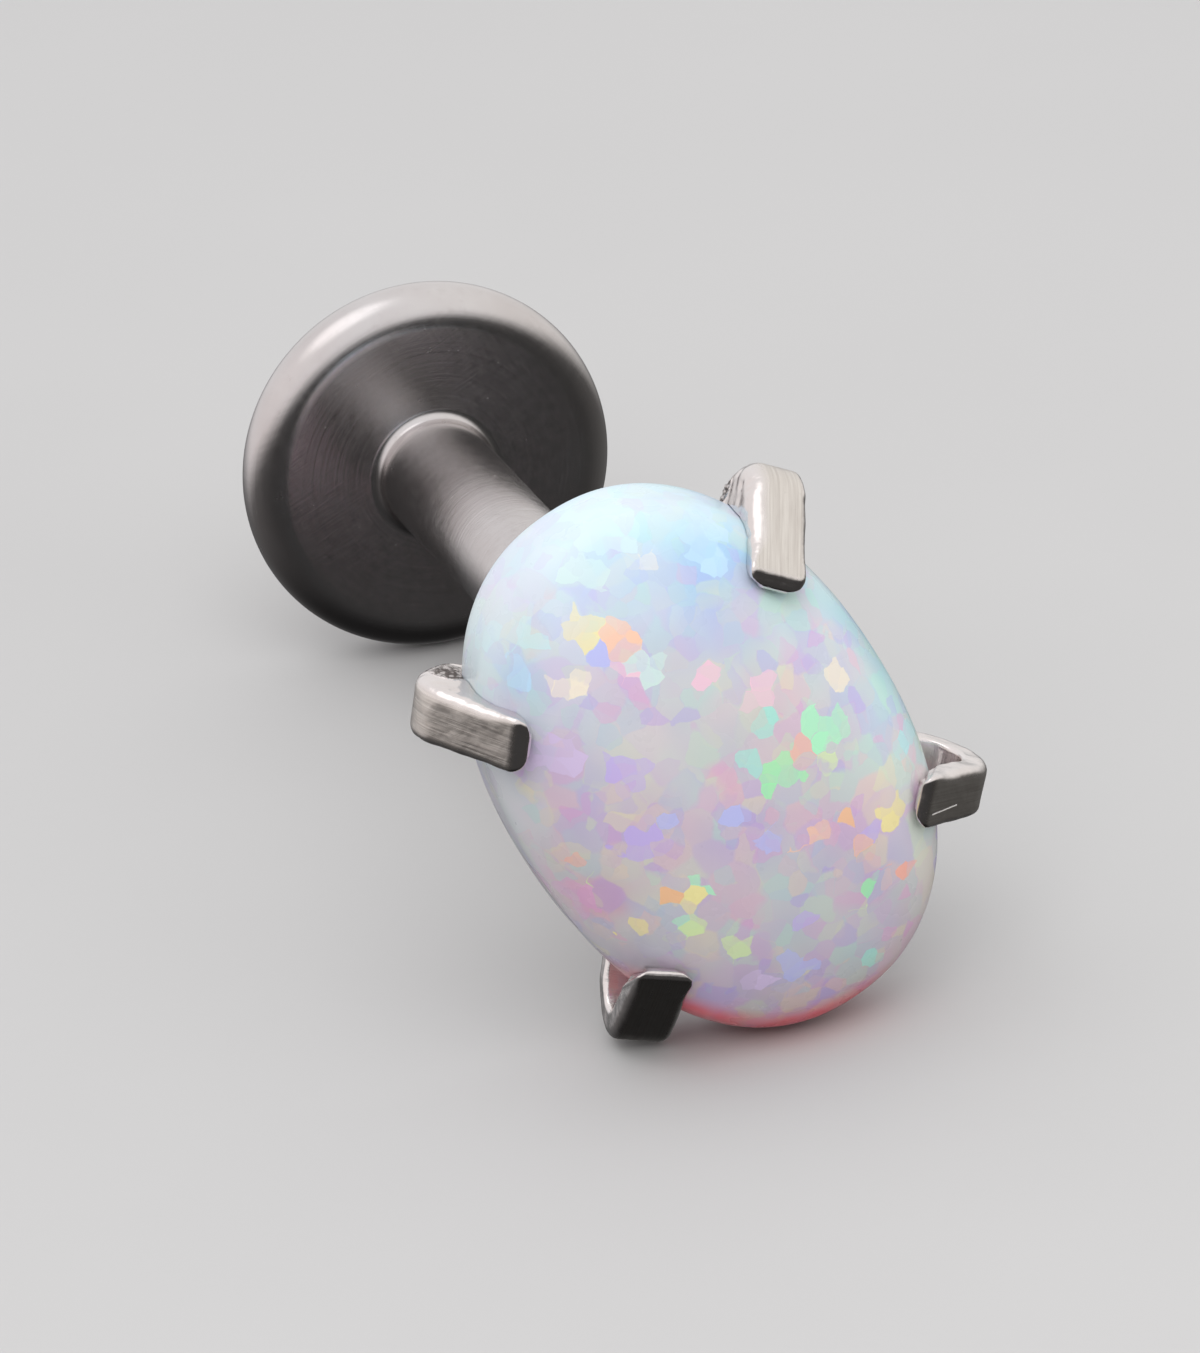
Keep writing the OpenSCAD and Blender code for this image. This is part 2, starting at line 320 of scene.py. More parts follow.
def claw(index):
    c = CLAWS[index]
    rho_p, rho_m, r_edge, r_end, deep_p, long_p, deep_m, long_m, taper = WEAR[index]
    m, R, T = centre(c), BEND_R + c[3], CLAW_T
    solid = c[9] == 1
    lean = tip_lean(c)
    a0, a1 = ARM_SLOPE - 90, lean - 90
    run = unit(ARM_SLOPE)
    edge = tip_edge(c)
    end = edge + np.array([c[5], c[6]])
    low = end + np.array([-0.05, -0.5])

    def arm(rr):
        p = m + rr * unit(a0)
        return p - run * ((p[0] - 0.45) / run[0]), p

    O, N, I, WORN, ZONE = [], [], [], [], []

    def add(o, n, i, worn=0.0, zone=0):
        O.append(o), N.append(n), I.append(i), WORN.append(worn), ZONE.append(zone)

    n_arm, n_bend, n_tip = 40, 44, 26
    (o0, o1), (i0, i1) = arm(R), arm(R - T)
    inside = np.array([2.2, 0.5])    # in the stone's place, which is cut out later
    if solid:
        i1 = i1 - run * 0.14
    for k in range(n_arm):
        add(o0 + (o1 - o0) * k / n_arm, unit(a0), i0 + (i1 - i0) * k / n_arm)
    for k in range(n_bend):
        f = k / n_bend
        a = unit(a0 + (a1 - a0) * f)
        add(m + R * a, a, i1 + (inside - i1) * f if solid else m + (R - T) * a)
    o2, i2 = m + R * unit(a1), m + (R - T) * unit(a1)
    under = edge - T * unit(a1)
    p1, q1, r1 = corner(o2, edge, end, r_edge, 8, 0.45, 0.55 if solid else 0.5)
    foot = low if solid else under - (edge - o2) / np.hypot(*(edge - o2)) * 0.2
    p2, q2, r2 = corner(edge, end, foot, r_end, 8)
    start = inside if solid else i2
    rest_in = start + (foot - start) * (0.22 if solid else 0.45)
    deep = lambda f: rest_in + (foot - rest_in) * f
    small = min(max(0.028, 0.75 * min(r1, r2, rho_p, rho_m)), 0.8 * r2)
    for k in range(n_tip + 1):
        f = k / n_tip
        g = min(1.0, max(0.0, (f - 0.55) / 0.45))
        g = g * g * (3 - 2 * g)
        add(o2 + (p1[0] - o2) * f, unit(a1), start + (rest_in - start) * f, g)
    wide, down = (1.0, 0.9) if solid else (4.9, 0.25)
    for k, (p, q) in enumerate(zip(p1[1:], q1[1:])):
        add(p, q, deep(0.006 * (k + 1) * wide), 1.0, (k + 1) / 8)
    for k in range(1, 5):
        add(p1[-1] + (p2[0] - p1[-1]) * k / 5, q1[-1], deep((0.05 + 0.01 * k) * wide), 1.0, 1)
    for k, (p, q) in enumerate(zip(p2, q2)):
        add(p, q, deep((0.10 + 0.005 * k) * wide), 1.0, 1)
    for k in range(1, 9):
        add(p2[-1] + (foot - p2[-1]) * k / 8 * down, q2[-1], deep((0.15 + 0.005 * k) * wide), 1.0, 1)
    O, N, I, WORN, ZONE = map(np.array, (O, N, I, WORN, ZONE))
    RP, RM = rho_p + (small - rho_p) * WORN, rho_m + (small - rho_m) * WORN
    n = len(O)
    s = np.r_[0, np.cumsum(np.hypot(*np.diff(O, axis=0).T))]
    at_edge = n_arm + n_bend + n_tip + 4
    at_end = at_edge + 4 + 4 + 4
    share = np.clip((np.arange(n) - n_arm) / 12.0, 0, 1)
    share = share * share * (3 - 2 * share)
    # the strips narrow a little towards the tip; cut and bent by hand, so the width wanders a little
    along = np.clip((s[at_edge] - s) / 1.5, 0, 1)
    wander = (1 + taper * (along - 0.4)) * (1 + 0.014 * np.sin(s * 4.1 + index * 2.0) + 0.009 * np.sin(s * 9.3 + index * 5.0))

    def half_width(cut, length):
        left = 1 - np.clip((s[at_end] + 0.01 - s) / length, 0, 1)
        return ((CLAW_W + c[4]) / 2 - cut * (1 - np.sqrt(1 - left ** 2))) * wander

    hp, hm = half_width(deep_p, long_p), half_width(deep_m, long_m)

    D = O - I
    D /= np.hypot(D[:, 0], D[:, 1])[:, None]
    rows = []   # each: point (n, 2), lateral (n,), depth share (n,), brushed face (n,)
    arc = [15, 30, 45, 60, 75, 90]

    def outer(x, a, face):
        rows.append((O - N * a[:, None], x, a * 0.0 + 0.0, np.full(n, face)))

    def inner(x, a):
        rows.append((I + D * a[:, None], x, np.ones(n), np.zeros(n)))

    for x in np.linspace(0, 1, 13):
        outer((hp - RP) * x - (hm - RM) * (1 - x), 0 * hp, 1.0)
    for p in arc:
        outer(hp - RP + RP * math.sin(rad(p)), RP * (1 - math.cos(rad(p))), max(0.0, 1 - p / 40))
    side = np.linspace(0, 1, 14)[1:-1]
    FI = FILLET_IN * (1 - 0.5 * WORN)
    bot = I + D * FI[:, None]
    for f in side:
        top = O - N * RP[:, None]
        rows.append((top + (bot - top) * f, hp.copy(), np.full(n, f), np.zeros(n)))
    for p in (90, 60, 30):
        inner(hp - FI + FI * math.sin(rad(p)), FI * (1 - math.cos(rad(p))))
    for x in np.linspace(1, 0, 9):
        inner((hp - FI) * x - (hm - FI) * (1 - x), 0 * hp)
    for p in (30, 60, 90):
        inner(-(hm - FI + FI * math.sin(rad(p))), FI * (1 - math.cos(rad(p))))
    for f in side[::-1]:
        top = O - N * RM[:, None]
        rows.append((top + (bot - top) * f, -hm, np.full(n, f), np.zeros(n)))
    for p in arc[::-1]:
        outer(-(hm - RM + RM * math.sin(rad(p))), RM * (1 - math.cos(rad(p))), max(0.0, 1 - p / 40))
    K = len(rows)
    P = np.stack([r[0] for r in rows], 1)
    L = np.stack([r[1] for r in rows], 1)
    X = np.stack([r[2] for r in rows], 1)
    F = np.stack([r[3] for r in rows], 1)
    pts = place(c, P[..., 0], L, P[..., 1], share[:, None] * np.ones_like(L))
    S = (s - s[at_edge])[:, None] * np.ones_like(L)
    strip = np.stack([S, L, X], -1).reshape(-1, 3)
    which = np.stack([np.full(L.shape, float(index)), F * (1 - ZONE[:, None] * 0.9), ZONE[:, None] * np.ones_like(L)], -1).reshape(-1, 3)
    verts = list(pts.reshape(-1, 3))
    faces = []
    for i in range(n - 1):
        for j in range(K):
            q = (j + 1) % K
            faces.append((i * K + j, i * K + q, (i + 1) * K + q, (i + 1) * K + j))
    for base, flip in ((0, True), ((n - 1) * K, False)):
        verts.append(np.mean(verts[base:base + K], axis=0))
        strip = np.vstack([strip, strip[base]])
        which = np.vstack([which, which[base]])
        for j in range(K):
            f = (len(verts) - 1, base + j, base + (j + 1) % K)
            faces.append(f[::-1] if flip else f)
    verts = np.array(verts)
    ob = make("claw_%d" % index, verts, faces, smooth_angle=40, attrs={"strip": strip, "which": which})
    roughen(ob, index)
    return ob


# spots left rough behind the bends of the two upper claws: stone frame centre, radius, depth
GRIT = [(np.array([-2.02, 1.68, -0.24]), 0.20, 0.020), (np.array([-2.10, -1.62, 0.03]), 0.24, 0.022)]
# short dents and nicks in the metal: stone frame centre, radius, depth
NICKS = [
    ((-2.19, 1.84, 0.42), 0.06, 0.022), ((-2.15, 1.80, 0.50), 0.05, 0.018), ((-2.12, 1.78, 0.26), 0.07, 0.018), ((-2.16, 1.86, 0.02), 0.08, 0.016),
    ((-1.93, 1.52, 0.92), 0.06, 0.020), ((-2.02, 1.62, 0.70), 0.06, 0.014), ((-2.00, 1.60, 0.50), 0.05, 0.014), ((-2.24, -1.80, 0.36), 0.07, 0.012), ((-2.19, -1.72, 0.52), 0.07, 0.010), ((1.93, 2.26, 0.05), 0.10, 0.012),
]


def roughen(ob, index):
    """Small real unevenness in the metal: soft waves everywhere, dents, and coarse grit at the rough spots."""
    me = ob.data
    co = np.zeros(len(me.vertices) * 3, np.float32)
    me.vertices.foreach_get("co", co)
    co = co.reshape(-1, 3)
    nor = np.array([v.normal for v in me.vertices])
    face = np.zeros(len(me.vertices) * 3, np.float32)
    me.attributes["which"].data.foreach_get("vector", face)
    face, at_tip = face.reshape(-1, 3)[:, 1], face.reshape(-1, 3)[:, 2]
    move = np.zeros(len(co))
    for i, p in enumerate(co):
        q = Vector(p)
        wave = noise.noise(q * 3.3 + Vector((index * 7.0, 0, 0))) * 0.007 + noise.noise(q * 8.0) * (0.0035 + 0.004 * CLAWS[index][9] * (1 - face[i]))
        move[i] += (wave - 0.002) * (1.0 - 0.5 * face[i])
        for at, r, depth in GRIT:
            d = np.linalg.norm(p - at)
            if d < r:
                k = min(1.0, (r - d) / (r * 0.45))
                move[i] += k * (1 - face[i]) * depth * (noise.noise(q * 15.0) * 1.2 + noise.noise(q * 33.0) * 0.9)
        for at, r, depth in NICKS:
            d = (q - Vector(at)).length
            if d < r:
                k = (1 - d / r)
                move[i] -= depth * k * k * (3 - 2 * k)
    co = co + nor * (move * (1 - (0.85 if CLAWS[index][9] else 1.0) * at_tip))[:, None]
    me.vertices.foreach_set("co", co.astype(np.float32).ravel())
    me.update()


def setting():
    parts = [claw(i) for i in range(4)]
    trees = []
    for p in parts:
        bm = bmesh.new()
        bm.from_mesh(p.data)
        bmesh.ops.triangulate(bm, faces=bm.faces)
        co = [v.co.copy() for v in bm.verts]
        tri = [tuple(v.index for v in f.verts) for f in bm.faces]
        bm.free()
        vals = {}
        for key in ("strip", "which"):
            a = np.zeros(len(co) * 3, np.float32)
            p.data.attributes[key].data.foreach_get("vector", a)
            vals[key] = [Vector(x) for x in a.reshape(-1, 3)]
        trees.append((BVHTree.FromPolygons(co, tri), co, tri, vals))
    # boss with rounded rims, and the pin, turned as one
    br, e = BOSS_D / 2, 0.09
    pr, tip = BORE_D / 2 - GAP, -BOSS_STACK - PIN_L
    prof = [(0, -0.42)] + [(br - e + e * math.sin(rad(a)), -0.42 - e + e * math.cos(rad(a))) for a in range(0, 91, 15)]
    prof += [(br - e + e * math.sin(rad(a)), -BOSS_STACK + e + e * math.cos(rad(a))) for a in range(90, 181, 15)]
    prof += [(pr, -BOSS_STACK)]
    prof += [(pr, -BOSS_STACK + (tip + BOSS_STACK) * k / 12) for k in range(1, 12)]
    prof += [(pr, tip + 0.06), (pr - 0.02, tip + 0.02), (pr - 0.06, tip), (0, tip)]
    v, f = lathe(prof, 128)
    boss = make("boss", v, f)
    for p in parts:
        mod = boss.modifiers.new("join", "BOOLEAN")
        mod.operation, mod.solver, mod.object = "UNION", "EXACT", p
    sv, sf = cabochon(CONTACT, 160, 44)
    seat = make("seat", sv, sf)
    mod = boss.modifiers.new("seat", "BOOLEAN")
    mod.operation, mod.solver, mod.object = "DIFFERENCE", "EXACT", seat
    apply_modifiers(boss)
    for p in parts + [seat]:
        bpy.data.objects.remove(p)
    boss.name = "claw_setting"
    me = boss.data
    me.name = "claw_setting"
    bm = bmesh.new()
    bm.from_mesh(me)
    bmesh.ops.remove_doubles(bm, verts=bm.verts, dist=0.0003)
    bmesh.ops.dissolve_degenerate(bm, dist=0.0003, edges=bm.edges)
    bmesh.ops.triangulate(bm, faces=bm.faces)
    # slivers that lie doubled on one another along the cut go
    bm.verts.index_update()
    twins = {}
    for f in bm.faces:
        twins.setdefault(tuple(sorted(v.index for v in f.verts)), []).append(f)
    bmesh.ops.delete(bm, geom=[f for group in twins.values() if len(group) > 1 for f in group], context="FACES")
    bm.to_mesh(me)
    bm.free()
    for key in ("strip", "which", "stone"):
        if me.attributes.get(key):
            me.attributes.remove(me.attributes[key])
    n = len(me.vertices)
    co = np.zeros(n * 3, np.float32)
    me.vertices.foreach_get("co", co)
    co = co.reshape(-1, 3)
    strip, which = np.zeros((n, 3)), np.zeros((n, 3))
    for i, p in enumerate(co):
        q = Vector(p)
        best = None
        for tree, tco, tri, vals in trees:
            hit = tree.find_nearest(q)
            if hit[0] is not None and (best is None or hit[3] < best[0]):
                best = (hit[3], hit[0], hit[2], tco, tri, vals)
        if best[0] > 0.004:
            strip[i] = (math.atan2(p[1], p[0]) * 0.4, p[2], 0.5)
            which[i] = (7.0, 0.0, 0.0)
            continue
        t = best[4][best[2]]
        src = [best[3][k] for k in t]
        for key, store in (("strip", strip), ("which", which)):
            store[i] = barycentric_transform(best[1], *src, *[best[5][key][k] for k in t])
    for key, store in (("strip", strip), ("which", which), ("stone", co)):
        a = me.attributes.new(key, "FLOAT_VECTOR", "POINT")
        a.data.foreach_set("vector", np.asarray(store, np.float32).ravel())
    me.vertices.foreach_set("co", world(co).astype(np.float32).ravel())
    soften(me, 36)
    return boss


# ---------------------------------------------------------------- node helpers
def srgb(r, g, b):
    f = lambda x: x / 12.92 if x <= 0.04045 else ((x + 0.055) / 1.055) ** 2.4
    return (f(r), f(g), f(b), 1.0)


class Nodes:
    def __init__(self, mat):
        self.t = mat.node_tree
        self.t.nodes.clear()
        self.out = self.t.nodes.new("ShaderNodeOutputMaterial")

    def new(self, kind, **props):
        n = self.t.nodes.new("ShaderNode" + kind)
        for k, v in props.items():
            setattr(n, k, v)
        return n

    def put(self, socket, value):
        if hasattr(value, "links") or isinstance(value, bpy.types.NodeSocket):
            self.t.links.new(value, socket)
        else:
            socket.default_value = value

    def attr(self, name):
        return self.new("Attribute", attribute_name=name).outputs["Vector"]

    def math(self, op, a, b=0.0, c=0.0, clamp=False):
        n = self.new("Math", operation=op, use_clamp=clamp)
        self.put(n.inputs[0], a)
        self.put(n.inputs[1], b)
        if len(n.inputs) > 2:
            self.put(n.inputs[2], c)
        return n.outputs[0]

    def vec(self, op, a, b=(0, 0, 0)):
        n = self.new("VectorMath", operation=op)
        self.put(n.inputs[0], a)
        if op == "SCALE":
            self.put(n.inputs["Scale"], b)
        else:
            self.put(n.inputs[1], b)
        return n.outputs["Value" if op in ("DISTANCE", "LENGTH", "DOT_PRODUCT") else "Vector"]

    def split(self, v):
        n = self.new("SeparateXYZ")
        self.put(n.inputs[0], v)
        return n.outputs

    def noise(self, v, scale, detail=3.0, rough=0.5, colour=False, distortion=0.0):
        n = self.new("TexNoise")
        self.put(n.inputs["Vector"], v)
        n.inputs["Scale"].default_value = scale
        n.inputs["Detail"].default_value = detail
        n.inputs["Roughness"].default_value = rough
        n.inputs["Distortion"].default_value = distortion
        return n.outputs["Color" if colour else "Fac"]

    def voronoi(self, v, scale, feature="F1", randomness=1.0, metric="EUCLIDEAN"):
        n = self.new("TexVoronoi", feature=feature, distance=metric)
        self.put(n.inputs["Vector"], v)
        n.inputs["Scale"].default_value = scale
        n.inputs["Randomness"].default_value = randomness
        return n

    def ramp(self, fac, stops, mode="LINEAR"):
        n = self.new("ValToRGB")
        n.color_ramp.interpolation = mode
        els = n.color_ramp.elements
        while len(els) > 1:
            els.remove(els[-1])
        els[0].position, els[0].color = stops[0][0], stops[0][1]
        for p, col in stops[1:]:
            e = els.new(p)
            e.color = col
        self.put(n.inputs[0], fac)
        return n.outputs["Color"]

    def span(self, v, a, b, lo=0.0, hi=1.0, kind="LINEAR"):
        n = self.new("MapRange", interpolation_type=kind)
        self.put(n.inputs["Value"], v)
        n.inputs["From Min"].default_value = a
        n.inputs["From Max"].default_value = b
        n.inputs["To Min"].default_value = lo
        n.inputs["To Max"].default_value = hi
        return n.outputs[0]

    def mix(self, fac, a, b, mode="MIX"):
        n = self.new("Mix", data_type="RGBA", blend_type=mode)
        self.put(n.inputs["Factor"], fac)
        self.put(n.inputs["A"] if False else n.inputs[6], a)
        self.put(n.inputs["B"] if False else n.inputs[7], b)
        return n.outputs[2]

    def combine(self, x, y, z):
        n = self.new("CombineXYZ")
        self.put(n.inputs[0], x)
        self.put(n.inputs[1], y)
        self.put(n.inputs[2], z)
        return n.outputs[0]

    def bump(self, height, strength, distance, normal=None):
        n = self.new("Bump")
        n.inputs["Strength"].default_value = strength
        n.inputs["Distance"].default_value = distance
        self.put(n.inputs["Height"], height)
        if normal is not None:
            self.put(n.inputs["Normal"], normal)
        return n.outputs["Normal"]


def material(name):
    m = bpy.data.materials.new(name)
    m.use_nodes = True
    return m, Nodes(m)


# ---------------------------------------------------------------- metal of the disc and post
def turned_steel():
    m, n = material("turned_steel")
    p = n.new("BsdfPrincipled")
    pos = n.attr("turned")
    x, y, w = n.split(pos)
    r = n.math("SQRT", n.math("ADD", n.math("MULTIPLY", x, x), n.math("MULTIPLY", y, y)))
    # turning marks are rings: they change along the radius and the axis and hardly round them
    ring = n.combine(r, w, n.math("MULTIPLY", x, 0.012))
    fine = n.noise(ring, 26.0, 4.0, 0.6)
    cloud = n.noise(pos, 0.9, 3.0, 0.55)
    speck = n.noise(pos, 9.0, 5.0, 0.7)
    base = n.mix(n.span(cloud, 0.3, 0.7), srgb(0.805, 0.78, 0.775), srgb(0.845, 0.828, 0.825))
    base = n.mix(n.span(speck, 0.55, 0.8, 0.0, 0.35), base, srgb(0.76, 0.735, 0.72))
    n.put(p.inputs["Base Color"], base)
    p.inputs["Metallic"].default_value = 1.0
    rough = n.math("ADD", n.span(speck, 0.3, 0.8, 0.17, 0.27), n.span(fine, 0.2, 0.8, -0.02, 0.05))
    n.put(p.inputs["Roughness"], rough)
    # hairline scratches in two crossing directions
    s1 = n.noise(n.combine(n.math("MULTIPLY", x, 30.0), n.math("MULTIPLY", y, 2.0), n.math("MULTIPLY", w, 3.0)), 1.0, 3.0, 0.6)
    s2 = n.noise(n.combine(n.math("MULTIPLY", x, 3.0), n.math("MULTIPLY", y, 24.0), n.math("MULTIPLY", w, 1.2)), 1.0, 3.0, 0.6)
    h = n.math("ADD", n.math("MULTIPLY", fine, 0.6), n.math("MULTIPLY", n.math("ADD", s1, s2), 0.3))
    n.put(p.inputs["Normal"], n.bump(h, 0.16, 0.000012))
    n.t.links.new(p.outputs[0], n.out.inputs[0])
    return m


# ---------------------------------------------------------------- metal of the claws
def filed_steel():
    m, n = material("filed_steel")
    p = n.new("BsdfPrincipled")
    strip, which, pos = n.attr("strip"), n.attr("which"), n.attr("stone")
    s, l, x = n.split(strip)
    idx, face, cut = n.split(which)
    # file marks run along the outer face of each strip: slow along it, fast across it
    lines = n.noise(n.combine(n.math("MULTIPLY", s, 0.8), n.math("MULTIPLY", l, 36.0), n.math("MULTIPLY", idx, 9.0)), 1.0, 4.0, 0.62)
    broad = n.noise(n.combine(n.math("MULTIPLY", s, 1.6), n.math("MULTIPLY", l, 15.0), n.math("MULTIPLY", idx, 5.0)), 1.0, 2.0, 0.5)
    # the sheared sides carry short marks across the thickness instead
    shear = n.noise(n.combine(n.math("MULTIPLY", s, 16.0), n.math("MULTIPLY", x, 1.6), n.math("ADD", n.math("MULTIPLY", idx, 3.0), l)), 1.0, 3.0, 0.6)
    cloud = n.noise(pos, 1.3, 3.0, 0.55)
    pits = n.noise(pos, 14.0, 4.0, 0.7)
    bright = n.mix(n.span(cloud, 0.3, 0.7), srgb(0.88, 0.85, 0.84), srgb(0.93, 0.905, 0.895))
    filed = n.mix(n.span(lines, 0.38, 0.68), srgb(0.90, 0.877, 0.85), srgb(0.815, 0.787, 0.76))
    filed = n.mix(n.span(broad, 0.45, 0.7, 0.0, 0.35), filed, srgb(0.77, 0.735, 0.71))
    base = n.mix(face, bright, filed)
    base = n.mix(n.span(pits, 0.62, 0.78, 0.0, 0.3), base, srgb(0.66, 0.63, 0.60))
    # one long scratch on the face of the third claw
    sc = n.math("ABSOLUTE", n.math("SUBTRACT", l, n.math("ADD", n.math("MULTIPLY", s, -0.10), -0.13)))
    sc = n.math("MULTIPLY", n.span(sc, 0.004, 0.011, 1.0, 0.0), n.math("COMPARE", idx, 2.0, 0.3))
    sc = n.math("MULTIPLY", sc, n.math("MULTIPLY", n.math("GREATER_THAN", s, -0.60), n.math("LESS_THAN", s, -0.10)))
    sc = n.math("MULTIPLY", sc, face)
    base = n.mix(n.math("MULTIPLY", sc, 0.9), base, srgb(0.97, 0.96, 0.95))
    # left rough from casting: behind the bends of the two upper claws
    grit = None
    for u, v, w, size in ((-2.02, 1.68, -0.24, 0.20), (-2.10, -1.62, 0.03, 0.24)):
        g = n.span(n.vec("DISTANCE", pos, (u, v, w)), size * 0.6, size, 1.0, 0.0, "SMOOTHSTEP")
        grit = g if grit is None else n.math("MAXIMUM", grit, g)
    grit = n.math("MULTIPLY", grit, n.span(face, 0.0, 0.4, 1.0, 0.0))
    grain = n.voronoi(pos, 17.0).outputs["Distance"]
    base = n.mix(n.math("MULTIPLY", grit, n.span(grain, 0.32, 0.55, 0.0, 0.85)), base, srgb(0.36, 0.32, 0.30))
    n.put(p.inputs["Base Color"], base)
    # the scratch and the torn metal scatter light instead of mirroring it
    dull = n.math("MAXIMUM", n.math("MULTIPLY", sc, 0.8), n.math("MULTIPLY", grit, n.span(grain, 0.15, 0.45, 0.7, 0.25)))
    n.put(p.inputs["Metallic"], n.math("SUBTRACT", 1.0, dull))
    rough = n.math("ADD", n.span(lines, 0.3, 0.75, 0.27, 0.39), n.span(broad, 0.3, 0.7, -0.03, 0.04))
    plain = n.span(pits, 0.3, 0.7, 0.12, 0.21)
    rough = n.math("ADD", n.math("MULTIPLY", face, n.math("SUBTRACT", rough, plain)), plain)
    n.put(p.inputs["Roughness"], n.math("ADD", rough, n.math("MULTIPLY", grit, 0.15)))
    h = n.math("MULTIPLY", face, n.math("ADD", n.math("MULTIPLY", lines, 0.32), n.math("MULTIPLY", broad, 0.32)))
    h = n.math("ADD", h, n.math("MULTIPLY", n.math("SUBTRACT", 1.0, face), n.math("MULTIPLY", shear, 0.35)))
    h = n.math("SUBTRACT", h, n.math("MULTIPLY", sc, 0.5))
    nor = n.bump(h, 0.5, 0.00002)
    nor = n.bump(n.noise(pos, 4.6, 2.0, 0.55), 0.2, 0.00005, nor)
    rough_h = n.math("MULTIPLY", grit, n.math("ADD", grain, n.noise(pos, 45.0, 3.0, 0.6)))
    nor = n.bump(rough_h, 1.0, 0.00007, nor)
    n.put(p.inputs["Normal"], nor)
    n.t.links.new(p.outputs[0], n.out.inputs[0])
    return m


# ---------------------------------------------------------------- opal
TONES = {
    "white": srgb(0.97, 0.97, 0.975), "pearl": srgb(0.915, 0.91, 0.905), "mist": srgb(0.86, 0.89, 0.925),
    "yellow": srgb(0.99, 0.94, 0.66), "peach": srgb(1.0, 0.82, 0.70), "coral": srgb(1.0, 0.74, 0.67), "orange": srgb(1.0, 0.79, 0.60),
    "cream": srgb(0.99, 0.95, 0.86), "pink": srgb(0.97, 0.81, 0.88), "rose": srgb(0.94, 0.74, 0.82), "magenta": srgb(0.91, 0.70, 0.85),
    "lilac": srgb(0.87, 0.80, 0.94), "purple": srgb(0.80, 0.73, 0.96), "periwinkle": srgb(0.76, 0.78, 0.98), "sky": srgb(0.76, 0.89, 0.99),
    "ice": srgb(0.86, 0.98, 1.0), "aqua": srgb(0.78, 0.94, 0.955), "teal": srgb(0.68, 0.93, 0.88), "mint": srgb(0.71, 0.99, 0.81),
    "mint_pale": srgb(0.86, 0.98, 0.93), "green": srgb(0.64, 1.0, 0.72), "lime": srgb(0.88, 0.98, 0.70),
}
# broad soft areas: tone, place along and across the stone, radius (mm), strength
AREAS = [
    ("sky", -2.06, 1.09, 0.50, 0.75), ("ice", -2.6, 0.15, 0.7, 0.5), ("white", -2.75, -0.3, 0.6, 0.4), ("pearl", -1.25, -0.05, 0.75, 0.75),
    ("lilac", -1.17, -1.34, 0.5, 0.7), ("lilac", -0.6, -1.1, 0.5, 0.7), ("lilac", 0.0, -1.2, 0.45, 0.55), ("periwinkle", 0.3, -0.15, 0.45, 0.5),
    ("lilac", 0.75, 0.3, 0.45, 0.6), ("lilac", -1.55, 0.95, 0.5, 0.55), ("sky", -1.76, 0.6, 0.35, 0.35), ("pink", -0.78, 0.82, 0.35, 0.5),
    ("aqua", 0.2, 1.8, 0.6, 0.6), ("mist", 1.25, 0.1, 0.75, 0.7), ("rose", 0.2, -1.75, 0.42, 0.7), ("pearl", 1.2, -0.7, 0.45, 0.4),
    ("sky", 2.1, 0.4, 0.4, 0.4), ("lilac", 1.8, -1.0, 0.4, 0.6), ("white", -0.78, -1.85, 0.4, 0.5), ("mint_pale", 0.55, -1.3, 0.3, 0.4),
    ("cream", -2.6, -0.95, 0.3, 0.4), ("sky", -2.13, -1.15, 0.28, 0.5), ("mint_pale", -0.6, -0.2, 0.5, 0.35), ("mist", 0.4, 1.0, 0.4, 0.5),
]
